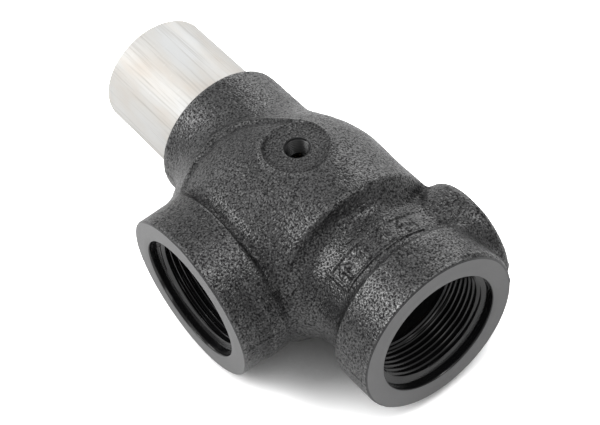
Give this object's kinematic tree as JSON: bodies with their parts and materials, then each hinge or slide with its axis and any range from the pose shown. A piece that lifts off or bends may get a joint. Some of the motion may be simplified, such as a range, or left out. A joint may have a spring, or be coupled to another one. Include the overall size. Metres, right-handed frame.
{
  "type": "pressure relief valve",
  "caption": "Angle-pattern pressure relief valve: black cast-iron body with threaded inlet and outlet ports, tapped gauge port and a plain aluminium spring cap with an adjusting screw.",
  "frame": {"origin": "on the inlet port's axis, 12.5 mm inside its face, halfway along its tapped wall; the outlet axis crosses the same axis at y = 62 mm", "axes": "+Y along the spring axis towards the spring cap, -Y out of the inlet port, -X out of the outlet port, +Z out of the gauge port"},
  "size_m": [0.0972, 0.1881, 0.0746],
  "materials": {
    "cast_body": "black coated sand casting, semi-gloss",
    "mill_aluminium": "mill-finish drawn bar",
    "bronze": "turned bronze",
    "stainless": "turned stainless steel",
    "plated_steel": "zinc-plated steel",
    "spring_steel": "oil-tempered spring steel",
    "elastomer": "black moulded rubber"
  },
  "bodies": {
    "housing": {"valve_body": "cast_body", "seat_ring": "stainless", "seat_o_ring": "elastomer", "seat_retaining_ring": "spring_steel", "spring_cap": "mill_aluminium", "cap_o_ring": "elastomer", "adjuster_o_ring": "elastomer", "main_spring": "spring_steel"},
    "poppet_group": {"poppet": "bronze", "poppet_seal": "elastomer", "guide_spider": "bronze", "spider_nut": "stainless", "spindle": "stainless", "spindle_pin": "spring_steel", "lower_spring_button": "plated_steel"},
    "adjuster_carriage": {"upper_spring_button": "plated_steel", "spindle_bush": "bronze", "thrust_washer": "bronze"},
    "adjuster": {"adjusting_screw": "plated_steel"},
    "washer_carriage": {"sealing_washer": "bronze"},
    "nut": {"lock_nut": "plated_steel"}
  },
  "joints": [
    {"name": "poppet_lift", "type": "slide", "parent": "housing", "child": "poppet_group", "axis": [0, 1, 0], "range_m": [0, 0.008], "deforming": ["main_spring"]},
    {"name": "adjuster_travel", "type": "slide", "parent": "housing", "child": "adjuster_carriage", "axis": [0, 1, 0], "range_m": [-0.0057, 0.0025], "deforming": ["main_spring"]},
    {"name": "adjuster_turn", "type": "hinge", "parent": "adjuster_carriage", "child": "adjuster", "pos_m": [0, 0.162, 0], "axis": [0, 1, 0], "range_deg": [-1620, 720]},
    {"name": "lock_nut_travel", "type": "slide", "parent": "housing", "child": "washer_carriage", "axis": [0, 1, 0], "range_m": [0, 0.0025]},
    {"name": "lock_nut_turn", "type": "hinge", "parent": "washer_carriage", "child": "nut", "pos_m": [0, 0.169, 0], "axis": [0, 1, 0], "range_deg": [0, 720]}
  ],
  "couplings": [
    {"joint": "adjuster_turn", "follows": "adjuster_travel", "rad_per_m": 4947.4},
    {"joint": "lock_nut_turn", "follows": "lock_nut_travel", "rad_per_m": 4947.4}
  ]
}
